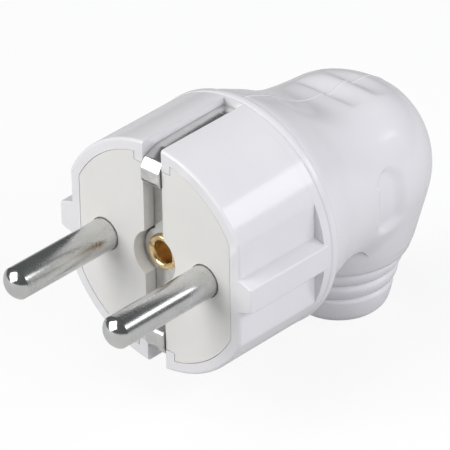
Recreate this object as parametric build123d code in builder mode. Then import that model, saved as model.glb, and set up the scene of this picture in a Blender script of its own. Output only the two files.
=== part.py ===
# Angled earthed plug with round pins, for rewiring.
# Millimetres. The pins point along -Y, the cable leaves along -Z, +Z is up.
# The origin is the middle of the front face, halfway between the two pins.
import math
import os

from build123d import *

os.makedirs("parts", exist_ok=True)

# Driving dimensions

PIN_R = 2.4
PIN_ROOT_R = 2.5
PIN_MOUTH_R = 2.55
PIN_MOUTH_DEPTH = 0.3
PIN_SEAT_R = 2.95
PIN_COLLAR_R = 3.5
PIN_SPACING = 19.0
PIN_LENGTH = 19.0
PIN_X = PIN_SPACING / 2

SHELL_R = 17.9
FLAT_X = 16.0
FLAT_END_Y = 15.4
KEY_X = 18.2
KEY_BASE = 2.6
KEY_TOP = 1.9
KEY_EDGE_R = 0.25
COLLAR_R = 18.0
COLLAR_END_Y = 18.6

CAVITY_R = 16.2
CAVITY_FLAT_X = 14.3
CAVITY_END_Y = 16.8
SLOT_HALF = 1.75
SLOT_END_Y = 16.5
TOOTH_OUT = 3.35
TOOTH_Z = 14.5

NECK_START_Y = 18.3
DOME_Y = 38.3
DOME_Z = -1.6
DOME_R = 13.5
DOME_INNER_R = 10.6
OUTLET_Z = -15.0
OUTLET_HOLE_R = 6.6
SCOOP_Y = 22.0
SCOOP_Z = -20.0
SCOOP_R = 14.5
SCOOP_WALL = 1.9
THUMB_Z = 11.05
THUMB_BLEND_R = 8.0
GRIP_Y = (36.9, 41.7)
GRIP_R = 1.7
GRIP_SWEEP_R = 22.0
OVAL_Y = 34.8
OVAL_TUBE_R = 7.0
OVAL_DEPTH = 0.65
OVAL_HALF_ANGLE = 12.5

FIT = 0.1
CARRIER_DEPTH = 6.0
GROOVE_HALF = 1.8
STRIP_HALF = 1.65
STRIP_T = 0.8
STRIP_Y = 2.0
RECESS_R = 3.95
CENTRE_SCREW_R = 1.75
BOSS_FRONT_Y = 14.5
BOSS_BACK_Y = 21.5
BOSS_WIDTH = 5.9
NUT_Y = 17.6
NUT_T = 2.8
NUT_WIDTH = 5.8
EARTH_Z = 9.0
TAB_Y = 15.4
TERMINAL_Y = 11.0
CLAMP_X = 6.8
CLAMP_Z = 1.0
CABLE_R = 4.2
SLEEVE_END_Z = -24.5


def facing(y):
    """Plane across the plug at depth y, with its x along X and its y along Z."""
    return Plane(origin=(0, y, 0), x_dir=(1, 0, 0), z_dir=(0, -1, 0))


def level(z):
    """Plane at height z, centred on the cable axis."""
    return Plane(origin=(0, DOME_Y, z), x_dir=(1, 0, 0), z_dir=(0, 0, 1))


# The neck and the dome share one axis, which drops from the collar's centre to the dome's centre.
neck_run = DOME_Y - NECK_START_Y
axis_length = math.hypot(neck_run, DOME_Z)
neck_axis = Axis((0, NECK_START_Y, 0), (0, neck_run, DOME_Z))
neck_plane = Plane(
    origin=(0, NECK_START_Y, 0),
    x_dir=(0, neck_run / axis_length, DOME_Z / axis_length),
    z_dir=(-1, 0, 0),
)
cable_axis = Axis((0, DOME_Y, 0), (0, 0, 1))

# Cutter for the two oval grip recesses: a short arc round the neck's axis with ball ends

oval_run = (OVAL_Y - NECK_START_Y) * axis_length / neck_run
oval_track_r = DOME_R + OVAL_TUBE_R - OVAL_DEPTH
oval_out = oval_track_r * math.cos(math.radians(OVAL_HALF_ANGLE))
oval_rise = oval_track_r * math.sin(math.radians(OVAL_HALF_ANGLE))
neck_up = Vector(0, -DOME_Z, neck_run) / axis_length
oval_start = Vector(-oval_out, 0, 0) - neck_up * oval_rise
oval_middle = neck_plane.origin + neck_plane.x_dir * oval_run - Vector(oval_out, 0, 0)
oval_plane = Plane(
    origin=neck_plane.origin,
    x_dir=neck_plane.x_dir,
    z_dir=neck_plane.x_dir.cross(oval_start),
)

with BuildPart() as grip_ovals:
    with BuildSketch(oval_plane):
        with Locations((oval_run, oval_track_r)):
            Circle(OVAL_TUBE_R)
    revolve(axis=neck_axis, revolution_arc=2 * OVAL_HALF_ANGLE)
    with Locations(oval_middle + neck_up * oval_rise, oval_middle - neck_up * oval_rise):
        Sphere(OVAL_TUBE_R)
    mirror(about=Plane.YZ)

# Neck and dome: the outside of the housing behind the collar

with BuildPart() as neck:
    with BuildSketch(neck_plane):
        with BuildLine():
            Spline(
                (-1.0, 17.35),
                (0.3, 17.2),
                (3.7, 16.1),
                (7.7, 14.75),
                (11.7, 13.9),
                (15.7, 13.56),
                (axis_length, DOME_R),
                tangents=((1, -0.05), (1, 0)),
            )
            RadiusArc((axis_length, DOME_R), (axis_length + DOME_R, 0), DOME_R)
            Polyline((axis_length + DOME_R, 0), (-1.0, 0), (-1.0, 17.35))
        make_face()
    revolve(axis=neck_axis)
    # Flat thumb rest on top, blended into the round neck
    with BuildSketch(Plane.YZ.offset(-20)):
        with BuildLine():
            Spline(
                (24.0, 16.2),
                (28.0, 13.0),
                (31.5, 11.4),
                (35.0, THUMB_Z),
                (40.0, THUMB_Z - 0.05),
                (44.0, 10.3),
                (49.0, 8.6),
            )
            Polyline((49.0, 8.6), (49.0, 20.0), (24.0, 20.0), (24.0, 16.2))
        make_face()
    extrude(amount=40, mode=Mode.SUBTRACT)
    fillet(neck.faces().filter_by(GeomType.EXTRUSION)[0].edges(), THUMB_BLEND_R)
    # Two grip grooves across the thumb rest, each fading out at its ends
    with BuildSketch(Plane.YZ):
        with Locations((GRIP_Y[0], THUMB_Z + 1.1), (GRIP_Y[1], THUMB_Z + 0.85)):
            Circle(GRIP_R)
    revolve(axis=Axis((0, 0, THUMB_Z + GRIP_SWEEP_R), (0, 1, 0)), mode=Mode.SUBTRACT)
    # Shallow oval grip recess on each flank, as deep at its ends as in its middle
    add(grip_ovals.part, mode=Mode.SUBTRACT)
    # Scoop under the neck, between the collar and the outlet
    with BuildSketch(Plane.YZ):
        with Locations((SCOOP_Y, SCOOP_Z)):
            Circle(SCOOP_R)
        Rectangle(2 * COLLAR_END_Y, 100, mode=Mode.SUBTRACT)
    extrude(amount=30, both=True, mode=Mode.SUBTRACT)

# Wiring space inside the neck and the dome

with BuildPart() as wiring_space:
    with BuildSketch(neck_plane):
        with BuildLine():
            Spline(
                (-1.6, 15.6),
                (3.7, 14.0),
                (7.7, 12.4),
                (11.7, 11.2),
                (15.7, 10.7),
                (axis_length, DOME_INNER_R),
                tangents=((1, -0.3), (1, 0)),
            )
            RadiusArc((axis_length, DOME_INNER_R), (axis_length + DOME_INNER_R, 0), DOME_INNER_R)
            Polyline((axis_length + DOME_INNER_R, 0), (-1.6, 0), (-1.6, 15.6))
        make_face()
    revolve(axis=neck_axis)
    with BuildSketch(Plane.YZ):
        with Locations((SCOOP_Y, SCOOP_Z)):
            Circle(SCOOP_R + SCOOP_WALL)
    extrude(amount=30, both=True, mode=Mode.SUBTRACT)

# Housing

with BuildPart() as housing:
    # Front skirt: a cylinder with two flats, rounded where they meet
    with BuildSketch(facing(0)) as skirt_outline:
        Circle(SHELL_R)
        Rectangle(2 * FLAT_X, 50, mode=Mode.INTERSECT)
        fillet(skirt_outline.vertices(), 1.4)
    extrude(amount=-(FLAT_END_Y + 0.5))
    fillet(housing.faces().sort_by(Axis.Y)[0].outer_wire().edges(), 0.6)
    # Guide key on each flat, its front flush with the rim and its edges crisp
    with BuildPart(mode=Mode.PRIVATE) as keys:
        key_root = FLAT_X - 2
        key_root_half = KEY_BASE + 2 * (KEY_BASE - KEY_TOP) / (KEY_X - FLAT_X)
        with BuildSketch(facing(0)):
            for side in (-1, 1):
                with BuildLine():
                    Polyline(
                        (side * key_root, key_root_half),
                        (side * KEY_X, KEY_TOP),
                        (side * KEY_X, -KEY_TOP),
                        (side * key_root, -key_root_half),
                        close=True,
                    )
                make_face()
        extrude(amount=-(FLAT_END_Y + 0.5))
        fillet(
            keys.edges().filter_by(lambda e: abs(e.center().X) > FLAT_X and e.center().Y < FLAT_END_Y),
            KEY_EDGE_R,
        )
    add(keys.part)
    # Collar: a full disc with a fine witness groove in front of its end band
    with BuildSketch(Plane.XY):
        with BuildLine():
            Polyline(
                (0, FLAT_END_Y),
                (SHELL_R, FLAT_END_Y),
                (SHELL_R, 16.78),
                (SHELL_R - 0.12, 16.9),
                (SHELL_R, 17.02),
                (COLLAR_R, 17.3),
                (COLLAR_R, 18.0),
                (COLLAR_R - 0.2, 18.4),
                (COLLAR_R - 0.6, COLLAR_END_Y),
                (0, COLLAR_END_Y),
                close=True,
            )
        make_face()
    revolve(axis=Axis.Y)
    add(neck.part)
    # Outlet cone that points down
    with BuildSketch(Plane.YZ):
        with BuildLine():
            Polyline(
                (DOME_Y, -3.0),
                (DOME_Y + 12.4, -3.0),
                (DOME_Y + 12.95, -5.2),
                (DOME_Y + 11.0, -12.8),
            )
            Spline(
                (DOME_Y + 11.0, -12.8),
                (DOME_Y + 10.5, -14.2),
                (DOME_Y + 10.15, OUTLET_Z + 0.25),
                tangents=((-0.26, -1), (-0.55, -1)),
            )
            Polyline(
                (DOME_Y + 10.15, OUTLET_Z + 0.25),
                (DOME_Y + 9.8, OUTLET_Z),
                (DOME_Y, OUTLET_Z),
                (DOME_Y, -3.0),
            )
        make_face()
    revolve(axis=cable_axis)
    # Front cavity for the contact carrier
    with BuildSketch(facing(0)) as cavity_outline:
        Circle(CAVITY_R)
        Rectangle(2 * CAVITY_FLAT_X, 50, mode=Mode.INTERSECT)
        fillet(cavity_outline.vertices(), 1.0)
    extrude(amount=-CAVITY_END_Y, mode=Mode.SUBTRACT)
    # Wiring space with a wide throat in front, the outlet chamber under it and the sleeve's hole
    add(wiring_space.part, mode=Mode.SUBTRACT)
    with BuildSketch(facing(CAVITY_END_Y - 0.8)):
        Circle(14.0)
        with Locations((0, -13.5)):
            Rectangle(40, 20, mode=Mode.SUBTRACT)
    extrude(amount=-2.6, mode=Mode.SUBTRACT)
    with BuildSketch(level(-13.2)):
        Circle(8.4)
    extrude(amount=11.0, taper=-6, mode=Mode.SUBTRACT)
    with BuildSketch(level(OUTLET_Z - 1)):
        Circle(OUTLET_HOLE_R)
    extrude(amount=5, mode=Mode.SUBTRACT)
    # Guide walls beside the two earth slots, then the slots
    with BuildSketch(facing(0)):
        with Locations((0, TOOTH_Z + 1.1), (0, -TOOTH_Z - 1.1)):
            Rectangle(2 * TOOTH_OUT, 2.2)
    extrude(amount=-CAVITY_END_Y)
    with BuildSketch(facing(0)):
        with Locations((0, TOOTH_Z + 4), (0, -TOOTH_Z - 4)):
            Rectangle(2 * SLOT_HALF, 8)
    extrude(amount=-SLOT_END_Y, mode=Mode.SUBTRACT)
    # Pedestal for the centre screw, with a slot across it for the nut
    with BuildSketch(facing(BOSS_FRONT_Y)):
        with Locations((0, -0.9)):
            Rectangle(BOSS_WIDTH, 11.0)
    extrude(amount=-(BOSS_BACK_Y - BOSS_FRONT_Y))
    with BuildSketch(facing(BOSS_FRONT_Y)):
        Circle(CENTRE_SCREW_R + FIT)
    extrude(amount=-(BOSS_BACK_Y - BOSS_FRONT_Y), mode=Mode.SUBTRACT)
    with BuildSketch(facing(NUT_Y - 0.05)):
        Rectangle(2 * BOSS_WIDTH, NUT_WIDTH + 0.2)
    extrude(amount=-(NUT_T + 0.1), mode=Mode.SUBTRACT)

housing.part.label = "housing"
export_step(housing.part, "parts/housing.step")

# Contact carrier

with BuildPart() as contact_carrier:
    with BuildSketch(facing(0)) as carrier_outline:
        Circle(CAVITY_R - FIT)
        Rectangle(2 * (CAVITY_FLAT_X - FIT), 50, mode=Mode.INTERSECT)
        fillet(carrier_outline.vertices(), 0.9)
        with Locations((0, TOOTH_Z + 4 - FIT), (0, -TOOTH_Z - 4 + FIT)):
            Rectangle(2 * (TOOTH_OUT + FIT), 8, mode=Mode.SUBTRACT)
    extrude(amount=-CARRIER_DEPTH)
    chamfer(contact_carrier.faces().sort_by(Axis.Y)[0].outer_wire().edges(), 0.15)
    # Rear side: sleeve for the centre screw, post for the earth terminal, two barrier walls
    with BuildSketch(facing(CARRIER_DEPTH)):
        Circle(3.9)
    extrude(amount=-(BOSS_FRONT_Y - CARRIER_DEPTH))
    with BuildSketch(facing(CARRIER_DEPTH)):
        with Locations((0, EARTH_Z)):
            Circle(3.2)
    extrude(amount=-(TAB_Y - STRIP_T - CARRIER_DEPTH))
    with BuildSketch(facing(CARRIER_DEPTH)):
        with Locations((5.4, 0), (-5.4, 0)):
            Rectangle(1.0, 25.0)
    extrude(amount=-7.5)
    # Face groove and round recess for the earth stirrup
    with BuildSketch(facing(0)):
        Rectangle(2 * GROOVE_HALF, 40)
        Circle(RECESS_R)
    extrude(amount=-(STRIP_Y + STRIP_T), mode=Mode.SUBTRACT)
    # Holes for the centre screw and the earth terminal screw
    with BuildSketch(facing(0)):
        Circle(CENTRE_SCREW_R + FIT)
    extrude(amount=-BOSS_FRONT_Y, mode=Mode.SUBTRACT)
    with BuildSketch(facing(7.5)):
        with Locations((0, EARTH_Z)):
            Circle(1.6)
    extrude(amount=-10, mode=Mode.SUBTRACT)
    # Pin holes: a narrow mouth in front, a seat behind it and a ring groove that grips the pin's collar
    with BuildSketch(facing(0)):
        with Locations((PIN_X, 0), (-PIN_X, 0)):
            Circle(PIN_MOUTH_R)
    extrude(amount=-CARRIER_DEPTH, mode=Mode.SUBTRACT)
    with BuildSketch(facing(PIN_MOUTH_DEPTH)):
        with Locations((PIN_X, 0), (-PIN_X, 0)):
            Circle(PIN_SEAT_R)
    extrude(amount=-CARRIER_DEPTH, mode=Mode.SUBTRACT)
    with BuildSketch(facing(2.6)):
        with Locations((PIN_X, 0), (-PIN_X, 0)):
            Circle(PIN_COLLAR_R)
    extrude(amount=-1.6, mode=Mode.SUBTRACT)

contact_carrier.part.label = "contact_carrier"
export_step(contact_carrier.part, "parts/contact_carrier.step")

# Pins: domed, flared a little inside the face, with a seat and collar in the carrier and a terminal head

with BuildPart() as pin_blank:
    with BuildSketch(Plane.XY):
        with BuildLine():
            ThreePointArc((0, -PIN_LENGTH), (1.32, -PIN_LENGTH + 0.375), (PIN_R, -PIN_LENGTH + 1.8))
            Polyline(
                (PIN_R, -PIN_LENGTH + 1.8),
                (PIN_R, 0),
                (PIN_ROOT_R, PIN_MOUTH_DEPTH),
                (PIN_SEAT_R, PIN_MOUTH_DEPTH),
                (PIN_SEAT_R, 2.6),
                (PIN_COLLAR_R, 2.6),
                (PIN_COLLAR_R, 4.2),
                (PIN_SEAT_R, 4.2),
                (PIN_SEAT_R, CARRIER_DEPTH),
                (3.4, CARRIER_DEPTH),
                (3.4, 14.1),
                (3.0, 14.5),
                (0, 14.5),
                (0, -PIN_LENGTH),
            )
        make_face()
    revolve(axis=Axis.Y)
    # Wire hole from behind, flat and thread for the clamping screw
    with BuildSketch(facing(8.0)):
        Circle(1.7)
    extrude(amount=-7, mode=Mode.SUBTRACT)
    with Locations((0, TERMINAL_Y, 4.0)):
        Box(8, 6.2, 2.0, mode=Mode.SUBTRACT)
    with BuildSketch(Plane.XY):
        with Locations((0, TERMINAL_Y)):
            Circle(1.5)
    extrude(amount=4, mode=Mode.SUBTRACT)

with BuildPart() as live_pin:
    with Locations((-PIN_X, 0, 0)):
        add(pin_blank.part)

live_pin.part.label = "live_pin"
export_step(live_pin.part, "parts/live_pin.step")

with BuildPart() as neutral_pin:
    with Locations((PIN_X, 0, 0)):
        add(pin_blank.part)

neutral_pin.part.label = "neutral_pin"
export_step(neutral_pin.part, "parts/neutral_pin.step")

# Terminal screws, one in each pin head

with BuildPart() as terminal_screws:
    with BuildSketch(Plane.XY.offset(-0.4)):
        with Locations((PIN_X, TERMINAL_Y), (-PIN_X, TERMINAL_Y)):
            Circle(1.48)
    extrude(amount=3.6)
    with BuildSketch(Plane.XY.offset(3.0)):
        with Locations((PIN_X, TERMINAL_Y), (-PIN_X, TERMINAL_Y)):
            Circle(2.6)
    extrude(amount=1.8)
    with Locations((PIN_X, TERMINAL_Y, 4.6), (-PIN_X, TERMINAL_Y, 4.6)):
        Box(0.7, 6, 1.2, mode=Mode.SUBTRACT)

terminal_screws.part.label = "terminal_screws"
export_step(terminal_screws.part, "parts/terminal_screws.step")

# Earth stirrup: one bent strip, a ring round the centre screw and a terminal tab behind

with BuildPart() as earth_stirrup:
    with BuildSketch(Plane.YZ):
        with BuildLine():
            FilletPolyline(
                (15.0, -17.1),
                (2.4, -16.0),
                (0.35, -15.6),
                (-0.6, -14.0),
                (-0.5, -11.9),
                (STRIP_Y, -10.2),
                (STRIP_Y, 10.2),
                (-0.5, 11.9),
                (-0.6, 14.0),
                (0.35, 15.6),
                (2.4, 16.0),
                (TAB_Y, 17.1),
                (TAB_Y, 5.6),
                radius=1.1,
            )
            offset(amount=STRIP_T, side=Side.RIGHT)
        make_face()
    extrude(amount=STRIP_HALF, both=True)
    with BuildSketch(facing(STRIP_Y)):
        Circle(3.6)
    extrude(amount=-STRIP_T)
    with BuildSketch(facing(TAB_Y - STRIP_T)) as tab_outline:
        with Locations((0, EARTH_Z)):
            Rectangle(7.0, 6.8)
        fillet(tab_outline.vertices(), 0.8)
    extrude(amount=-STRIP_T)
    with BuildSketch(facing(STRIP_Y)):
        Circle(CENTRE_SCREW_R + FIT)
    extrude(amount=-STRIP_T, mode=Mode.SUBTRACT)
    with BuildSketch(facing(TAB_Y - STRIP_T)):
        with Locations((0, EARTH_Z)):
            Circle(1.7)
    extrude(amount=-STRIP_T, mode=Mode.SUBTRACT)

earth_stirrup.part.label = "earth_stirrup"
export_step(earth_stirrup.part, "parts/earth_stirrup.step")

# Centre screw: a hollow slotted brass head on a threaded shank

with BuildPart() as centre_screw:
    with BuildSketch(Plane.XY):
        with BuildLine():
            Polyline(
                (2.2, 1.4),
                (2.7, 1.5),
                (2.7, STRIP_Y),
                (CENTRE_SCREW_R, STRIP_Y),
                (CENTRE_SCREW_R, 20.6),
                (1.3, 21.2),
                (0, 21.2),
                (0, 4.5),
                (0.9, 4.2),
                (1.1, 2.4),
                (2.0, 1.5),
                (2.2, 1.4),
            )
        make_face()
    revolve(axis=Axis.Y)
    with BuildSketch(facing(1.0)):
        Rectangle(8, 0.8, rotation=-21)
    extrude(amount=-1.2, mode=Mode.SUBTRACT)

centre_screw.part.label = "centre_screw"
export_step(centre_screw.part, "parts/centre_screw.step")

# Housing nut in the pedestal's slot

with BuildPart() as housing_nut:
    with BuildSketch(facing(NUT_Y)):
        Rectangle(NUT_WIDTH, NUT_WIDTH)
        Circle(CENTRE_SCREW_R, mode=Mode.SUBTRACT)
    extrude(amount=-NUT_T)

housing_nut.part.label = "housing_nut"
export_step(housing_nut.part, "parts/housing_nut.step")

# Earth terminal: a clamp washer and a slotted screw on the stirrup's tab

with BuildPart() as earth_washer:
    with BuildSketch(facing(TAB_Y)):
        with Locations((0, EARTH_Z)):
            Rectangle(6.4, 6.4)
            Circle(1.75, mode=Mode.SUBTRACT)
    extrude(amount=-0.8)

earth_washer.part.label = "earth_washer"
export_step(earth_washer.part, "parts/earth_washer.step")

with BuildPart() as earth_screw:
    with BuildSketch(facing(8.0)):
        with Locations((0, EARTH_Z)):
            Circle(1.6)
    extrude(amount=-(TAB_Y + 0.8 - 8.0))
    with BuildSketch(facing(TAB_Y + 0.8)):
        with Locations((0, EARTH_Z)):
            Circle(3.0)
    extrude(amount=-1.8)
    with Locations((0, TAB_Y + 2.4, EARTH_Z)):
        Box(7, 1.0, 0.8, mode=Mode.SUBTRACT)

earth_screw.part.label = "earth_screw"
export_step(earth_screw.part, "parts/earth_screw.step")

# Cord saddle: a block with a slot for the cable, seated against the dome's rear wall

with BuildPart() as cord_saddle:
    with Locations((0, 42.4, CLAMP_Z)):
        Box(18.0, 15.2, 6.0)
    with Locations((0, DOME_Y, DOME_Z)):
        Sphere(DOME_INNER_R - 0.02, mode=Mode.INTERSECT)
    with Locations((0, DOME_Y - 1.7, CLAMP_Z)):
        Box(2 * CABLE_R + 0.4, 12.0, 8.0, mode=Mode.SUBTRACT)
    with BuildSketch(facing(34.0)):
        with Locations((CLAMP_X, CLAMP_Z), (-CLAMP_X, CLAMP_Z)):
            Circle(1.47)
    extrude(amount=-7.6, mode=Mode.SUBTRACT)

cord_saddle.part.label = "cord_saddle"
export_step(cord_saddle.part, "parts/cord_saddle.step")

# Cord clamp bar over the outlet, with its two screws

with BuildPart() as cord_clamp:
    with Locations((0, 33.3, CLAMP_Z)):
        Box(17.2, 2.2, 6.0)
    with Locations((0, 34.6, CLAMP_Z + 1.6), (0, 34.6, CLAMP_Z - 1.6)):
        Box(7.4, 0.6, 0.9)
    with BuildSketch(facing(32.0)):
        with Locations((CLAMP_X, CLAMP_Z), (-CLAMP_X, CLAMP_Z)):
            Circle(1.6)
    extrude(amount=-3, mode=Mode.SUBTRACT)

cord_clamp.part.label = "cord_clamp"
export_step(cord_clamp.part, "parts/cord_clamp.step")

with BuildPart() as clamp_screws:
    with BuildSketch(facing(32.2)):
        with Locations((CLAMP_X, CLAMP_Z), (-CLAMP_X, CLAMP_Z)):
            Circle(1.45)
    extrude(amount=-8.8)
    with BuildSketch(facing(30.5)):
        with Locations((CLAMP_X, CLAMP_Z), (-CLAMP_X, CLAMP_Z)):
            Circle(2.6)
    extrude(amount=-1.7)
    with Locations((CLAMP_X, 30.6, CLAMP_Z), (-CLAMP_X, 30.6, CLAMP_Z)):
        Box(0.7, 1.6, 6, mode=Mode.SUBTRACT)

clamp_screws.part.label = "clamp_screws"
export_step(clamp_screws.part, "parts/clamp_screws.step")

# Cable sleeve: a flange inside the housing, a neck in the hole and a ribbed tail

with BuildPart() as cable_sleeve:
    with BuildSketch(Plane.YZ.shift_origin((0, DOME_Y, 0))):
        with BuildLine():
            Polyline(
                (CABLE_R, -11.4),
                (8.0, -11.4),
                (8.0, -13.2),
                (6.5, -13.2),
                (6.5, OUTLET_Z),
                (9.2, OUTLET_Z),
            )
            Spline((9.2, OUTLET_Z), (9.45, -15.8), (9.3, -16.9), (8.6, -17.7))
            Spline((8.6, -17.7), (8.4, -18.5), (8.2, -19.5), (7.7, -20.3))
            Spline((7.7, -20.3), (7.65, -21.0), (7.5, -22.3), (7.1, -24.0), (6.4, SLEEVE_END_Z))
            Polyline(
                (6.4, SLEEVE_END_Z),
                (CABLE_R + 0.3, SLEEVE_END_Z),
                (CABLE_R, SLEEVE_END_Z + 0.3),
                (CABLE_R, -11.4),
            )
        make_face()
    revolve(axis=cable_axis)

cable_sleeve.part.label = "cable_sleeve"
export_step(cable_sleeve.part, "parts/cable_sleeve.step")
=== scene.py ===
# Angled earthed plug with round pins: the visual model.
# Metres. The pins point along -Y, the cable leaves along -Z and +Z is up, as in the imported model.
import math

import bpy
from mathutils import Matrix, Quaternion, Vector


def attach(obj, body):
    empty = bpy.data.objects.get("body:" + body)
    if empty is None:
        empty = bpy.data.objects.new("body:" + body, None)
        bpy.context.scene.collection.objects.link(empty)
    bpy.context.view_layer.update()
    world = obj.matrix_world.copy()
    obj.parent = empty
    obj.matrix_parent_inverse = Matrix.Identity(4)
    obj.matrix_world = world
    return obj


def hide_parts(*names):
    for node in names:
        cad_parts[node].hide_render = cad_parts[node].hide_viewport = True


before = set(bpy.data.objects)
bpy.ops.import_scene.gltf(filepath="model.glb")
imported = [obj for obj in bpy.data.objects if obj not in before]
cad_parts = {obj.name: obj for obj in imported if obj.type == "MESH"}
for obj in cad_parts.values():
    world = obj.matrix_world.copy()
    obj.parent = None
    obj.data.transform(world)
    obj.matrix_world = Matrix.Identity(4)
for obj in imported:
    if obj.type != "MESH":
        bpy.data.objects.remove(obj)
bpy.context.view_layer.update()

# Camera: a long lens from the front right and above, as the product photograph was taken.
# It was fitted to the pins' known spacing, so the view is almost parallel.

MM = 0.001
camera_back = Vector((0.5866, -0.6218, 0.5189)).normalized()
camera_right = Vector((-0.3424, 0.3902, 0.8547)).cross(camera_back).normalized()
camera_up = camera_back.cross(camera_right)
camera_turn = Matrix((camera_right, camera_up, camera_back)).transposed().to_4x4()
camera_aim = Vector((5.665, 8.380, 3.639)) * MM
camera_distance = 0.7

camera_data = bpy.data.cameras.new("camera")
camera_data.sensor_width = 36
camera_data.lens = 403.94
camera_data.clip_end = 10
camera = bpy.data.objects.new("camera", camera_data)
camera.matrix_world = Matrix.Translation(camera_aim + camera_distance * camera_back) @ camera_turn
bpy.context.scene.collection.objects.link(camera)
bpy.context.scene.camera = camera
bpy.context.scene.view_settings.view_transform = "Standard"

# Contact plate: the flat insert that fills the plug's mouth and carries the pins.
# It is moulded in a hard satin plastic, a little greyer than the housing, with a groove
# down the middle for the earth strip and a round well for the screw.

same_point = 0.0005 * MM


def draw_line(name, points):
    """Collapses a plane to one vertex and draws it out from point to point, given in millimetres."""
    if bpy.context.object and bpy.context.object.mode != "OBJECT":
        bpy.ops.object.mode_set(mode="OBJECT")
    bpy.ops.object.select_all(action="DESELECT")
    bpy.ops.mesh.primitive_plane_add(size=0.01)
    piece = bpy.context.object
    piece.name = name
    bpy.ops.object.mode_set(mode="EDIT")
    bpy.ops.mesh.merge(type="CENTER")
    bpy.ops.transform.translate(value=Vector(points[0]) * MM)
    for here, there in zip(points, points[1:]):
        reach = (Vector(there) - Vector(here)) * MM
        bpy.ops.mesh.extrude_vertices_move(TRANSFORM_OT_translate={"value": reach})
    bpy.ops.mesh.select_all(action="SELECT")
    return piece


def close_up(piece):
    """Merges what touches, turns the faces outwards and leaves edit mode."""
    bpy.ops.mesh.select_all(action="SELECT")
    bpy.ops.mesh.remove_doubles(threshold=same_point)
    bpy.ops.mesh.normals_make_consistent(inside=False)
    bpy.ops.object.mode_set(mode="OBJECT")
    return piece


def prism(name, outline, axis, start, end):
    """A closed outline drawn across one axis and extruded along it."""
    across = "XYZ".index(axis)
    points = [(*pair[:across], start, *pair[across:]) for pair in outline]
    piece = draw_line(name, points + points[:1])
    bpy.ops.mesh.remove_doubles(threshold=same_point)
    bpy.ops.mesh.edge_face_add()
    along = Vector((0, 0, 0))
    along[across] = 1
    bpy.ops.mesh.extrude_region_move(TRANSFORM_OT_translate={"value": along * (end - start) * MM})
    return close_up(piece)


def block(name, low, high):
    """A rectangular block between two corners, used to cut or to build up."""
    corners = [(low[0], low[2]), (high[0], low[2]), (high[0], high[2]), (low[0], high[2])]
    return prism(name, corners, "Y", low[1], high[1])


def arc(centre, radius, start, end, steps):
    """Points on an arc, angles in radians."""
    turns = [start + (end - start) * i / steps for i in range(steps + 1)]
    return [(centre[0] + radius * math.cos(t), centre[1] + radius * math.sin(t)) for t in turns]


def rod(name, axis, centre, radius, start, end, steps=64):
    """A straight round bar along one axis."""
    return prism(name, arc(centre, radius, 0, math.tau, steps)[:-1], axis, start, end)


def combine(piece, tool, operation):
    """Cuts the tool from the piece or joins it on, then throws the tool away."""
    change = piece.modifiers.new("change", "BOOLEAN")
    change.operation = operation
    change.solver = "MANIFOLD"
    change.object = tool
    bpy.context.view_layer.objects.active = piece
    bpy.ops.object.modifier_apply(modifier=change.name)
    bpy.data.objects.remove(tool)


def cut(piece, tool):
    combine(piece, tool, "DIFFERENCE")


def join(piece, tool):
    combine(piece, tool, "UNION")


def pick(piece):
    """Selects one piece alone and makes it the active one."""
    bpy.ops.object.select_all(action="DESELECT")
    piece.select_set(True)
    bpy.context.view_layer.objects.active = piece


def soften(piece, chosen, width, steps):
    """Bevels the edges that the test picks, by their two end points in millimetres."""
    pick(piece)
    bpy.ops.object.mode_set(mode="EDIT")
    bpy.ops.mesh.select_mode(type="EDGE")
    bpy.ops.mesh.select_all(action="DESELECT")
    bpy.ops.object.mode_set(mode="OBJECT")
    for edge in piece.data.edges:
        ends = [piece.data.vertices[i].co / MM for i in edge.vertices]
        edge.select = chosen(*ends)
    bpy.ops.object.mode_set(mode="EDIT")
    bpy.ops.mesh.bevel(offset=width * MM, segments=steps, profile=0.5, affect="EDGES")
    bpy.ops.mesh.select_mode(type="VERT")
    return close_up(piece)


def smooth(piece, degrees=28):
    """Shades the piece smooth, apart from its real edges, and keeps its flat faces flat."""
    pick(piece)
    bpy.ops.object.shade_smooth_by_angle(angle=math.radians(degrees))
    flats = piece.modifiers.new("flats", "WEIGHTED_NORMAL")
    flats.keep_sharp = True
    bpy.ops.object.modifier_apply(modifier=flats.name)


def split(piece, *planes):
    """Divides the faces along planes, each given by a point in millimetres and a normal."""
    pick(piece)
    bpy.ops.object.mode_set(mode="EDIT")
    for point, normal in planes:
        bpy.ops.mesh.select_all(action="SELECT")
        bpy.ops.mesh.bisect(plane_co=Vector(point) * MM, plane_no=normal)
    bpy.ops.object.mode_set(mode="OBJECT")


def flatted_round(radius, flat, corner, steps):
    """Outline of a disc with a flat on each side, with a fillet where flat and round meet."""
    out = flat - corner
    rise = math.sqrt((radius - corner) ** 2 - out**2)
    turn = math.atan2(rise, out)
    quarter = arc((out, rise), corner, 0, turn, 5)[:-1] + arc((0, 0), radius, turn, math.pi / 2, steps)
    top = quarter + [(-x, z) for x, z in reversed(quarter[:-1])]
    return top + [(-x, -z) for x, z in top]


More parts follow.
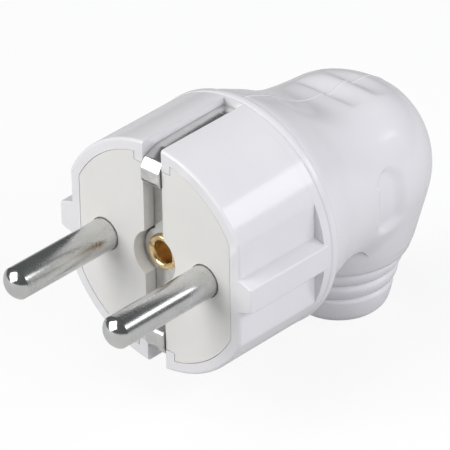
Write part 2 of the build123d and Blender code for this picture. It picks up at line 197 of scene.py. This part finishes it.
pin_x = 9.5
screw_way_r = 1.85
earth_z = 9
contact_plate = prism("contact_plate", flatted_round(16.15, 14.25, 0.95, 60), "Y", 0, 6)
soften(contact_plate, lambda a, b: max(a.y, b.y) < 0.01, 0.1, 2)
for side in (-1, 1):
    cut(contact_plate, block("tooth_notch", (-3.45, -1, side * 17.4 - 3), (3.45, 7, side * 17.4 + 3)))
join(contact_plate, rod("screw_guide", "Y", (0, 0), 3.9, 5.5, 14.5))
join(contact_plate, rod("earth_post", "Y", (0, earth_z), 3.2, 5.5, 14.6))
for side in (-1, 1):
    barrier_x = side * 5.4
    join(contact_plate, block("barrier", (barrier_x - 0.5, 5.5, -12.5), (barrier_x + 0.5, 13.5, 12.5)))
strip_bed = rod("strip_bed", "Y", (0, 0), 3.95, -1, 4.2, 96)
join(strip_bed, block("groove", (-1.8, -1, -20), (1.8, 4.2, 20)))
cut(contact_plate, strip_bed)
strip_pad = rod("strip_pad", "Y", (0, 0), 3.35, 2.8, 4.6, 96)
join(strip_pad, block("pad_run", (-1.4, 2.8, -14.2), (1.4, 4.6, 14.2)))
join(contact_plate, strip_pad)
cut(contact_plate, rod("screw_hole", "Y", (0, 0), screw_way_r, -1, 16))
cut(contact_plate, rod("post_hole", "Y", (0, earth_z), 1.6, 7.5, 16, 32))
for side in (-1, 1):
    cut(contact_plate, rod("pin_mouth", "Y", (side * pin_x, 0), 2.55, -1, 8))
    cut(contact_plate, rod("pin_seat", "Y", (side * pin_x, 0), 2.97, 0.3, 8))
    cut(contact_plate, rod("pin_lock", "Y", (side * pin_x, 0), 3.52, 2.6, 4.2))
smooth(contact_plate)


class Value:
    """A shader socket that takes part in Python sums."""

    def __init__(self, finish, socket):
        self.finish = finish
        self.socket = socket

    def sum(self, operation, first, second):
        made = self.finish.node("Math", {"operation": operation}, {0: first, 1: second})
        return made("Value")

    def __add__(self, other):
        return self.sum("ADD", self, other)

    def __radd__(self, other):
        return self.sum("ADD", other, self)

    def __sub__(self, other):
        return self.sum("SUBTRACT", self, other)

    def __rsub__(self, other):
        return self.sum("SUBTRACT", other, self)

    def __mul__(self, other):
        return self.sum("MULTIPLY", self, other)

    def __rmul__(self, other):
        return self.sum("MULTIPLY", other, self)

    def __truediv__(self, other):
        return self.sum("DIVIDE", self, other)

    def __rtruediv__(self, other):
        return self.sum("DIVIDE", other, self)


class Finish:
    """A material in the making: node() adds any node and returns its outputs by name."""

    def __init__(self, name, constants):
        self.material = bpy.data.materials.new(name)
        self.material.use_nodes = True
        self.tree = self.material.node_tree
        self.surface = self.tree.nodes["Principled BSDF"]
        for socket, value in constants.items():
            self.surface.inputs[socket].default_value = value

    def node(self, kind, settings, sockets):
        made = self.tree.nodes.new("ShaderNode" + kind)
        for name, value in settings.items():
            if name == "stops":
                self.set_stops(made.color_ramp, value)
            else:
                setattr(made, name, value)
        for name, value in sockets.items():
            self.feed(made.inputs[name], value)
        return lambda output: Value(self, made.outputs[output])

    def set_stops(self, ramp, stops):
        while len(ramp.elements) < len(stops):
            ramp.elements.new(1)
        for element, (place, shade) in zip(ramp.elements, stops):
            element.position = place
            element.color = (*shade, 1) if isinstance(shade, tuple) else (shade, shade, shade, 1)

    def feed(self, socket, value):
        if isinstance(value, Value):
            self.tree.links.new(value.socket, socket)
        else:
            socket.default_value = value

    def set(self, **sockets):
        for name, value in sockets.items():
            self.feed(self.surface.inputs[name.replace("_", " ")], value)

    def place(self, scale=(1, 1, 1), turn=(0, 0, 0)):
        """Object coordinates in millimetres, stretched or turned."""
        spot = self.node("TexCoord", {}, {})("Object")
        reach = tuple(s / MM for s in scale)
        return self.node("Mapping", {}, {"Vector": spot, "Rotation": turn, "Scale": reach})("Vector")

    def behind(self):
        """Distance behind the plug's front face, in millimetres."""
        spot = self.node("TexCoord", {}, {})("Object")
        return self.node("SeparateXYZ", {}, {"Vector": spot})("Y") * (1 / MM)

    def noise(self, spot, scale, detail=2.0, roughness=0.5):
        sockets = {"Vector": spot, "Scale": scale, "Detail": detail, "Roughness": roughness}
        return self.node("TexNoise", {}, sockets)("Fac")

    def ramp(self, factor, stops):
        return self.node("ValToRGB", {"stops": stops}, {"Fac": factor})("Color")

    def mix(self, factor, first, second):
        sockets = {"Factor": factor, 6: first, 7: second}
        return self.node("Mix", {"data_type": "RGBA"}, sockets)(2)

    def bump(self, height, strength, distance, rounding=0.0):
        """Relief in the surface, over edges rounded by a small radius in millimetres."""
        sockets = {"Height": height, "Strength": strength, "Distance": distance * MM}
        if rounding:
            sockets["Normal"] = self.node("Bevel", {"samples": 4}, {"Radius": rounding * MM})("Normal")
        return self.node("Bump", {}, sockets)("Normal")


def finish_plate():
    """Satin insert plastic: warm grey white, with a faint flow pattern and a fine spark texture."""
    made = Finish("satin_insert_plastic", {"IOR": 1.5, "Specular IOR Level": 0.45})
    spot = made.place()
    cloud = made.noise(spot, 0.18, 3)
    grain = made.noise(spot, 9.0, 3)
    shade = made.ramp(cloud, [(0.3, (0.775, 0.765, 0.745)), (0.7, (0.800, 0.790, 0.770))])
    made.set(Base_Color=shade, Roughness=0.40 + 0.14 * grain)
    made.set(Normal=made.bump(grain, 0.12, 0.02, 0.12))
    return made.material


def dress(piece, material, slot, *nodes):
    """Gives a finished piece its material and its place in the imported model."""
    piece.data.materials.clear()
    piece.data.materials.append(material)
    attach(piece, "root")
    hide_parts(*nodes)


dress(contact_plate, finish_plate(), "carrier_plastic", "contact_carrier")

# Pins: turned brass rod with a bright nickel plate, pressed through the contact plate.
# Each has a domed tip, a collar that locks it in the plastic and a drilled terminal head behind.


def turned(name, outline, at, along, out, steps):
    """A solid of revolution from an outline of (distance along the axis, radius) pairs."""
    at, along, out = Vector(at), Vector(along).normalized(), Vector(out).normalized()
    piece = draw_line(name, [at + along * s + out * r for s, r in outline])
    bpy.ops.mesh.spin(steps=steps, angle=math.tau, center=at * MM, axis=along)
    return close_up(piece)


def turned_ahead(name, outline, steps, x=0):
    """A solid turned about a line that runs from front to back."""
    return turned(name, outline, (x, 0, 0), (0, 1, 0), (0, 0, 1), steps)


tip_y = -16.19
tip_r = 2.81
edge_y = -17.565
edge_out = 2.1
edge_turn = math.atan2(edge_out, edge_y - tip_y)
pin_side = arc((tip_y, 0), tip_r, math.pi, edge_turn, 14)
pin_side += arc((edge_y, edge_out), 0.3, edge_turn, math.pi / 2, 4)[1:]
pin_side += [(0, 2.4), (0.3, 2.5), (0.3, 2.95), (2.6, 2.95), (2.6, 3.5), (4.2, 3.5), (4.2, 2.95)]
pin_side += [(6.0, 2.95), (6.0, 3.4), (14.1, 3.4), (14.5, 3.0), (14.5, 0)]
left_pin = turned_ahead("left_pin", pin_side, 96, -pin_x)
cut(left_pin, rod("wire_hole", "Y", (-pin_x, 0), 1.7, 8, 16, 32))
cut(left_pin, block("screw_flat", (-pin_x - 5, 7.9, 3.0), (-pin_x + 5, 14.1, 6.0)))
cut(left_pin, rod("screw_thread", "Z", (-pin_x, 11), 1.5, 0.2, 5, 32))
smooth(left_pin, 12)

bpy.ops.object.duplicate_move(TRANSFORM_OT_translate={"value": (2 * pin_x * MM, 0, 0)})
bpy.ops.object.transform_apply(location=True, rotation=False, scale=False)
right_pin = bpy.context.object
right_pin.name = "right_pin"


def finish_nickel():
    """Nickel plate: fine rings from turning and long rub marks on the shaft, and a polished tip."""
    made = Finish("nickel_plate", {"Metallic": 1.0})
    rings = made.noise(made.place((0.35, 11, 0.35)), 1.0, 3)
    rubs = made.noise(made.place((2.2, 0.4, 2.2)), 1.0, 4, 0.6)
    cloud = made.noise(made.place(), 0.35, 2)
    polished = made.ramp(made.behind() / -20, [(0.85, 0.0), (0.90, 1.0)])
    shade = made.ramp(cloud, [(0.3, (0.64, 0.64, 0.63)), (0.7, (0.71, 0.71, 0.70))])
    made.set(Base_Color=shade, Roughness=0.15 + 0.12 * rubs + 0.10 * rings - 0.12 * polished)
    made.set(Normal=made.bump(rings, 0.22, 0.01, 0.05))
    return made.material


nickel_plate = finish_nickel()
dress(left_pin, nickel_plate, "plated_pin", "live_pin")
dress(right_pin, nickel_plate, "plated_pin", "neutral_pin")

# Terminal screws: small zinc-plated slotted screws, one down into each pin's head.
# They sit inside the plug, where only a dismantled plug shows them.


def finish_zinc():
    """Zinc plate: dull grey metal with a faint cloudy passivation."""
    made = Finish("zinc_plate", {"Metallic": 1.0})
    cloud = made.noise(made.place(), 1.2, 3)
    shade = made.ramp(cloud, [(0.3, (0.50, 0.51, 0.52)), (0.7, (0.62, 0.62, 0.60))])
    made.set(Base_Color=shade, Roughness=0.28 + 0.15 * cloud)
    return made.material


def dress_inner(node, material):
    """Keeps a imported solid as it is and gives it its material."""
    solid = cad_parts[node]
    solid.data.materials.clear()
    solid.data.materials.append(material)


zinc_plate = finish_zinc()
dress_inner("terminal_screws", zinc_plate)

# Earth strip: one nickel-plated spring strip, bent round the contact plate.
# It lies in the groove, rises over two noses and runs back to the ends of the housing's slots,
# with a ring round the screw and a tab for the earth wire behind.


def rounded(points, radius, steps):
    """The same run of points with each inner corner turned on a radius."""
    made = [points[0]]
    for before, corner, after in zip(points, points[1:], points[2:]):
        corner = Vector(corner)
        back = (Vector(before) - corner).normalized()
        ahead = (Vector(after) - corner).normalized()
        half = back.angle(ahead) / 2
        middle = corner + (back + ahead).normalized() * (radius / math.sin(half))
        first = corner + back * (radius / math.tan(half)) - middle
        last = corner + ahead * (radius / math.tan(half)) - middle
        for i in range(steps + 1):
            ray = first.lerp(last, i / steps).normalized() * radius
            made.append(tuple(middle + ray))
    return made + [points[-1]]


strip_run = [
    (16.4, -16.75), (2.6, -16.4), (0.35, -15.6), (-0.6, -14.0), (-0.5, -11.9), (2.0, -10.2),
    (2.0, 10.2), (-0.5, 11.9), (-0.6, 14.0), (0.35, 15.6), (2.6, 16.4), (15.4, 16.72), (15.4, 5.6),
]
strip_half = 1.65
strip_bend = 1.1
strip_line = [(-strip_half, y, z) for y, z in rounded(strip_run, strip_bend, 7)]
earth_strip = draw_line("earth_strip", strip_line)
bpy.ops.mesh.extrude_region_move(TRANSFORM_OT_translate={"value": (2 * strip_half * MM, 0, 0)})
bpy.ops.object.mode_set(mode="OBJECT")
thickness = earth_strip.modifiers.new("thickness", "SOLIDIFY")
thickness.thickness = 0.8 * MM
thickness.offset = 1
bpy.ops.object.modifier_apply(modifier=thickness.name)
bpy.ops.object.mode_set(mode="EDIT")
close_up(earth_strip)
join(earth_strip, rod("screw_ring", "Y", (0, 0), 3.6, 2.0, 2.8, 64))
join(earth_strip, block("earth_tab", (-3.5, 14.6, 5.6), (3.5, 15.4, 12.4)))
lug_side = [(13.4, 16.64), (16.4, 16.72), (16.4, 15.96), (13.4, 15.9)]
lug_half = 1.63
join(earth_strip, prism("lug", lug_side, "X", -lug_half, lug_half))
cut(earth_strip, rod("ring_hole", "Y", (0, 0), screw_way_r, 1, 4, 64))
cut(earth_strip, rod("tab_hole", "Y", (0, earth_z), 1.7, 14, 16, 32))
smooth(earth_strip, 35)


def finish_strip():
    """Plated spring strip: rolled lines along the strip and a few handling marks."""
    made = Finish("plated_spring_strip", {"Metallic": 1.0})
    lines = made.noise(made.place((14, 0.5, 0.5)), 1.0, 3)
    marks = made.noise(made.place(), 0.9, 3)
    shade = made.ramp(marks, [(0.3, (0.66, 0.66, 0.65)), (0.7, (0.77, 0.765, 0.75))])
    made.set(Base_Color=shade, Roughness=0.13 + 0.12 * lines + 0.06 * marks)
    made.set(Normal=made.bump(lines, 0.08, 0.01, 0.10))
    return made.material


dress(earth_strip, finish_strip(), "plated_strip", "earth_stirrup")
dress_inner("earth_washer", zinc_plate)
dress_inner("earth_screw", zinc_plate)

# Housing: one white moulding with a flatted mouth, guide keys, a collar and a neck that bends down.
# The skirt is drawn as an outline and extruded, the collar, neck and outlet are turned,
# and the thumb rest, grip grooves and side hollows are worked into the neck.


def on_curve(before, start, end, after, t):
    """A value on the smooth curve from start to end, led by the values before and after them."""
    bend = 2 * before - 5 * start + 4 * end - after
    twist = 3 * start - before - 3 * end + after
    return 0.5 * (2 * start + (end - before) * t + bend * t * t + twist * t**3)


def through(points, steps):
    """A smooth run of points through the given ones."""
    made = []
    ends = [tuple(2 * a - b for a, b in zip(points[0], points[1]))]
    ends += points + [tuple(2 * a - b for a, b in zip(points[-1], points[-2]))]
    for four in zip(ends, ends[1:], ends[2:], ends[3:]):
        for i in range(steps):
            made.append(tuple(on_curve(*values, i / steps) for values in zip(*four)))
    return made + [points[-1]]


def height_at(run, y):
    """Height of a run of (y, z) points at one y."""
    for (y0, z0), (y1, z1) in zip(run, run[1:]):
        if y <= y1:
            return z0 + (z1 - z0) * max(0.0, y - y0) / (y1 - y0)
    return run[-1][1]


def ease(low, high, value):
    """A smooth step from 0 at low to 1 at high."""
    t = min(1.0, max(0.0, (value - low) / (high - low)))
    return t * t * (3 - 2 * t)


neck_y = 18.3
neck_run = 20
neck_drop = 1.6
neck_start = Vector((0, neck_y, 0))
neck_along = Vector((0, neck_run, -neck_drop)).normalized()
neck_up = (0, neck_drop, neck_run)
neck_length = math.hypot(neck_run, neck_drop)
outlet_y = neck_y + neck_run
dome_r = 13.5

neck_side = [(-1.0, 17.35), (0.3, 17.2), (3.7, 16.1), (7.7, 14.75), (11.7, 13.9), (15.7, 13.56)]
neck_side = through(neck_side + [(neck_length, dome_r)], 12)
dome_side = [(neck_length + s, r) for r, s in arc((0, 0), dome_r, 0, math.pi / 2, 44)][1:]
neck = turned("neck", [(-1.0, 0)] + neck_side + dome_side, neck_start, neck_along, neck_up, 288)

rest_front = 24
rest_back = 49
rest_run = [(28, 13.05), (31.5, 11.5), (35, 11.17), (40, 11.1), (44, 10.38)]
rest_run = through([(rest_front, 16.2)] + rest_run + [(rest_back, 8.6)], 10)
rest_shoulder = 1.8
groove_places = (35.9, 41.0)
groove_reach = 5.6
groove_depth = 0.72
hollow_y = 34.8
hollow_depth = 0.66
cone_r = 14.351
cone_slope = 0.257
cone_top = -4.6
cone_depth = 6
flash_half = 0.13
flash_height = 0.105


def press_top(x, y, z):
    """Thumb rest: presses the round down to a flat run with a soft shoulder and two grip grooves."""
    if z <= 4 or not rest_front < y < rest_back:
        return z
    rest = height_at(rest_run, y)
    gap = max(0.0, rest_shoulder - abs(z - rest))
    z = min(z, rest) - gap * gap / (4 * rest_shoulder)
    fade = max(0.0, 1 - (x / groove_reach) ** 2)
    for groove_y in groove_places:
        behind = y - groove_y
        drop = ease(-1.0, 0.2, behind) * (1 - ease(0.2, 3.8, behind))
        z -= groove_depth * fade * drop
    return z


def press_side(x, y, z, radius):
    """Side hollow: a shallow upright oval on each flank, crisp in front and soft behind."""
    if abs(x) <= 9 or not 28 < y < 42:
        return x
    above = max(0.0, abs(z + 1.3) - 2.4)
    reach = math.hypot(y - hollow_y, above)
    crisp = 2.2 - 1.4 * ease(-1.5, 1.5, y - hollow_y)
    return x * (1 - hollow_depth / radius * (1 - ease(crisp, 3.2, reach)))


def run_out(x, y, z):
    """Outlet: the round runs out into the cone below it, as a fillet would let it."""
    away = math.hypot(x, y - outlet_y)
    deep = cone_r + cone_slope * z - away
    spread = 0.1 + 1.9 * (1 - ease(33, 39, y))
    if z >= cone_top or y <= rest_front or not -spread < deep < cone_depth:
        return x, y
    push = deep if deep > spread else (deep + spread) ** 2 / (4 * spread)
    push = min(push, cone_depth - deep) * ease(-cone_top, 7.0, -z)
    push += 0.03 * ease(5.0, 5.9, -z) - 0.06 * ease(6.5, 9.5, -z)
    stretch = 1 + push / away
    return x * stretch, outlet_y + (y - outlet_y) * stretch


for vertex in neck.data.vertices:
    x, y, z = vertex.co / MM
    radius = math.hypot(x, z + neck_drop / neck_run * (y - neck_y))
    on_top = abs(x) < 0.4 and z > 0 and y > 18.4
    z = press_top(x, y, z)
    x = press_side(x, y, z, radius)
    x, y = run_out(x, y, z)
    # Flash line where the two halves of the mould met
    if on_top and abs(x) < 0.02:
        z += flash_height
    elif on_top:
        x = math.copysign(flash_half, x)
    vertex.co = Vector((x, y, z)) * MM

housing = prism("moulded_housing", flatted_round(17.9, 16, 1.4, 90), "Y", 0, 16)
soften(housing, lambda a, b: max(a.y, b.y) < 0.01, 0.45, 4)
key_side = [(14, -3.24), (18.2, -1.9), (18.2, 1.9), (14, 3.24)]
for side in (-1, 1):
    key = prism("key", [(side * x, z) for x, z in key_side], "Y", 0, 15.9)
    soften(key, lambda a, b: abs(a.x + b.x) > 32 and a.y + b.y < 16, 0.25, 3)
    join(housing, key)
split(housing, ((0, 0, 0), (1, 0, 0)))
split(housing, *[((0, 0, z), (0, 0, 1)) for z in (8, 0, -8)])
collar_side = [(15.4, 0), (15.4, 17.91), (16.78, 17.91), (16.9, 17.78), (17.02, 17.91)]
collar_edge = [(17.12, 17.96), (17.4, 18.0), (17.9, 17.98), (18.25, 17.85), (18.6, 17.45)]
collar_side += through(collar_edge, 4) + [(18.6, 0)]
join(housing, turned_ahead("collar", collar_side, 288))

scoop_y = 22
scoop_r = 14.5
scoop_turn = math.acos(-3.4 / scoop_r)
scoop_side = arc((scoop_y, -20.4), scoop_r, -scoop_turn, scoop_turn, 240)
cut(neck, prism("scoop", scoop_side, "X", -30, 30))
join(housing, neck)


def turned_upright(name, outline, steps):
    """A solid turned about the upright line that the cable follows."""
    return turned(name, outline, (0, outlet_y, 0), (0, 0, 1), (0, 1, 0), steps)


outlet_side = [(-6.6, 0), (-6.6, 12.655), (-12.4, 11.164)]
outlet_side += through([(-12.8, 11.0), (-14.2, 10.5), (-14.75, 10.15)], 5)
outlet_side += [(-15.0, 9.8), (-15.0, 0)]
join(housing, turned_upright("outlet", outlet_side, 192))

# Inside of the housing: the mouth, the wiring space, the outlet chamber, the earth slots with their
# guide walls and the pedestal with the nut's slot.
# It is moulded in one with the housing and shows only when the plug is opened.

inner_r = 10.6
inner_side = [(-1.6, 15.6), (3.7, 14.0), (7.7, 12.4), (11.7, 11.2), (15.7, 10.7)]
inner_side = [(-1.6, 0)] + through(inner_side + [(neck_length, inner_r)], 4)
inner_side += [(neck_length + s, r) for r, s in arc((0, 0), inner_r, 0, math.pi / 2, 12)][1:]
wiring_space = turned("wiring_space", inner_side, neck_start, neck_along, neck_up, 96)
cut(wiring_space, rod("scoop_wall", "X", (scoop_y, -20), 16.4, -30, 30, 128))
cut(housing, prism("mouth", flatted_round(16.2, 14.3, 1.0, 60), "Y", -1, 16.8))
cut(housing, wiring_space)
throat = arc((0, 0), 14, math.radians(-12), math.radians(192), 68)
cut(housing, prism("throat", throat, "Y", 16, 18.6))
chamber_side = [(-13.2, 0), (-13.2, 8.4), (-2.2, 9.55), (-2.2, 0)]
cut(housing, turned_upright("outlet_chamber", chamber_side, 96))
cut(housing, rod("sleeve_hole", "Z", (0, outlet_y), 6.6, -16, -11, 96))
for side in (-1, 1):
    join(housing, block("guide_wall", (-3.35, 0, side * 15.6 - 1.1), (3.35, 17, side * 15.6 + 1.1)))
for side in (-1, 1):
    cut(housing, block("earth_slot", (-1.75, -1, side * 18.5 - 4), (1.75, 16.5, side * 18.5 + 4)))
join(housing, block("pedestal", (-2.95, 14.5, -6.4), (2.95, 21.5, 4.6)))
cut(housing, rod("screw_way", "Y", (0, 0), screw_way_r, 14, 22, 48))
cut(housing, block("nut_slot", (-5, 17.55, -3.0), (5, 20.45, 3.0)))
smooth(housing)


def finish_housing():
    """Glossy housing plastic: cool white, with faint flow clouds, rubbed gloss and a fine skin."""
    made = Finish("glossy_white_plastic", {"IOR": 1.5, "Specular IOR Level": 0.5})
    spot = made.place()
    cloud = made.noise(spot, 0.09, 3)
    rubs = made.noise(made.place((0.6, 0.25, 0.6)), 1.0, 4, 0.6)
    grain = made.noise(spot, 6.0, 2)
    shade = made.ramp(cloud, [(0.3, (0.795, 0.785, 0.810)), (0.7, (0.820, 0.810, 0.832))])
    made.set(Base_Color=shade, Roughness=0.07 + 0.08 * rubs + 0.03 * grain)
    made.set(Normal=made.bump(grain, 0.05, 0.015, 0.06))
    return made.material


white_plastic = finish_housing()
dress(housing, white_plastic, "housing_plastic", "housing")

# Screw and nut: a hollow slotted brass screw through the ring of the earth strip.
# It draws the contact plate against the pedestal and holds in a square nut behind it.

screw_hole = [(5.0, 0), (4.7, 1.2), (4.2, 1.5), (2.4, 1.62)]
screw_rim = through([(1.95, 1.66), (1.62, 1.8), (1.45, 2.05), (1.4, 2.3), (1.46, 2.54), (1.66, 2.7)], 3)
screw_shank = [(2.0, 2.7), (2.0, 1.75), (20.6, 1.75), (21.2, 1.3), (21.2, 0)]
hollow_screw = turned_ahead("hollow_screw", screw_hole + screw_rim + screw_shank, 96)
slot_turn = math.radians(-21)
slot_cos = math.cos(slot_turn)
slot_sin = math.sin(slot_turn)
slot_corners = [(-4, -0.4), (4, -0.4), (4, 0.4), (-4, 0.4)]
slot_outline = [(a * slot_cos - b * slot_sin, a * slot_sin + b * slot_cos) for a, b in slot_corners]
cut(hollow_screw, prism("screw_slot", slot_outline, "Y", 1.0, 2.2))
smooth(hollow_screw, 32)


def finish_brass():
    """Turned brass: warm and bright on the rim, faintly stained, with a duller cup whose colour is
    darkened by painted shade deeper in.
    """
    made = Finish("turned_brass", {"Metallic": 1.0})
    stain = made.noise(made.place(), 1.6, 3)
    # Painted shade: the brass colour darkens with depth behind the front face, so the cup's hollow
    # reads shaded. The same mask also raises the roughness, for a duller cup.
    inside = made.ramp(made.behind() / 6, [(0.30, 0.0), (0.55, 1.0)])
    bright = made.ramp(stain, [(0.3, (0.74, 0.55, 0.29)), (0.7, (0.86, 0.68, 0.40))])
    shade = made.mix(inside, bright, (0.62, 0.43, 0.21, 1))
    made.set(Base_Color=shade, Roughness=0.16 + 0.16 * stain + 0.2 * inside)
    made.set(Normal=made.bump(stain, 0.08, 0.01, 0.06))
    return made.material


dress(hollow_screw, finish_brass(), "brass", "centre_screw")
dress_inner("housing_nut", zinc_plate)

# Cable sleeve: a soft ribbed collar snapped into the outlet, held by a flange inside.
# It steps down in three rounded ribs to a plain end with an open bore for the cable.

sleeve_top = -11.4
sleeve_end = -24.5
bore_r = 4.2
sleeve_ribs = [
    [(-15.1, 9.25), (-15.4, 9.42), (-15.9, 9.45), (-16.7, 9.2), (-17.35, 8.7), (-17.65, 8.3)],
    [(-17.72, 8.22), (-18.0, 8.55), (-18.4, 8.66), (-19.1, 8.5), (-19.9, 8.05), (-20.25, 7.62)],
    [(-20.32, 7.5), (-20.6, 7.82), (-21.0, 7.92), (-22.2, 7.68), (-23.7, 7.2), (sleeve_end, 6.5)],
]
sleeve_side = [(sleeve_top, bore_r), (sleeve_top, 8.0), (-13.2, 8.0), (-13.2, 6.5)]
sleeve_side += [(-15.0, 6.5), (-15.0, 9.1)]
for rib, steps in zip(sleeve_ribs, (5, 5, 6)):
    sleeve_side += through(rib, steps)
sleeve_side += [(sleeve_end, 4.5), (-24.2, bore_r), (sleeve_top, bore_r)]
cable_sleeve = turned_upright("ribbed_sleeve", sleeve_side, 144)
smooth(cable_sleeve, 40)


def finish_sleeve():
    """Soft sleeve plastic: the housing's white, a little duller, with a faint powdery skin."""
    made = Finish("soft_white_plastic", {"IOR": 1.48, "Specular IOR Level": 0.5})
    spot = made.place()
    cloud = made.noise(spot, 0.2, 3)
    grain = made.noise(spot, 8.0, 3)
    shade = made.ramp(cloud, [(0.3, (0.805, 0.798, 0.822)), (0.7, (0.830, 0.823, 0.845))])
    made.set(Base_Color=shade, Roughness=0.22 + 0.10 * grain)
    made.set(Normal=made.bump(grain, 0.08, 0.02, 0.08))
    return made.material


soft_plastic = finish_sleeve()
dress(cable_sleeve, soft_plastic, "sleeve_plastic", "cable_sleeve")

# Cord clamp: a moulded saddle and a bar with two screws that grip the cable's sheath above the sleeve.
# They are inside the housing.

dress_inner("cord_saddle", soft_plastic)
dress_inner("cord_clamp", soft_plastic)
dress_inner("clamp_screws", zinc_plate)

# Studio: a white floor that melts into a white background, and large soft lamps round the plug.
# The floor shows white to the camera but still takes the plug's soft shadow.

lamp_aim = Vector((0, 12, 0))


def lamp(name, place, size, power, tint, mirrored=False, roll=0):
    """A softbox. A fill lamp stays out of mirror images, so metal shows only the main boxes."""
    data = bpy.data.lights.new(name, "AREA")
    data.shape = "RECTANGLE"
    data.size, data.size_y = size[0] * MM, size[1] * MM
    data.energy = power
    data.color = tint
    made = bpy.data.objects.new(name, data)
    made.location = Vector(place) * MM
    turn = (lamp_aim - Vector(place)).to_track_quat("-Z", "Y")
    made.rotation_euler = (turn @ Quaternion((0, 0, 1), math.radians(roll))).to_euler()
    made.visible_glossy = mirrored
    bpy.context.scene.collection.objects.link(made)


lamp("key_box", (-208, -416, 234), (400, 400), 2.15, (1, 1, 0.995), True, 45)
lamp("rim_box", (259, 264, 208), (150, 108), 0.17, (0.98, 0.975, 1), True)
lamp("top_fill", (-100, -60, 520), (400, 400), 0.86, (1, 0.99, 1))
lamp("right_fill", (430, -20, 240), (300, 300), 1.17, (0.97, 0.96, 1))
lamp("back_fill", (320, 280, 200), (300, 300), 0.38, (0.97, 0.96, 1))

bpy.ops.object.select_all(action="DESELECT")
bpy.ops.mesh.primitive_plane_add(size=6, location=(0, 0, sleeve_end * MM))
floor = bpy.context.object
floor.name = "floor"
paper = Finish("grey_paper", {"Roughness": 0.9})
seen = paper.node("LightPath", {}, {})
reflected = seen("Is Glossy Ray").sum("MAXIMUM", seen("Is Glossy Ray"), seen("Is Transmission Ray"))
glow = paper.node("Emission", {}, {"Color": (1, 1, 1, 1), "Strength": 1.0})("Emission")
body = Value(paper, paper.surface.outputs["BSDF"])
share = 0.85 * seen("Is Camera Ray") + 0.3 * reflected
bounce = 0.52
paper.set(Base_Color=bounce + (1 - bounce) * seen("Is Camera Ray"))
sheet = paper.node("MixShader", {}, {0: share, 1: body, 2: glow})("Shader")
paper.feed(paper.tree.nodes["Material Output"].inputs["Surface"], sheet)
floor.data.materials.append(paper.material)

world = bpy.data.worlds.new("studio")
bpy.context.scene.world = world
world.use_nodes = True
sky = world.node_tree.nodes["Background"]
sky.inputs["Color"].default_value = (0.92, 1, 1, 1)
sky.inputs["Strength"].default_value = 0.12
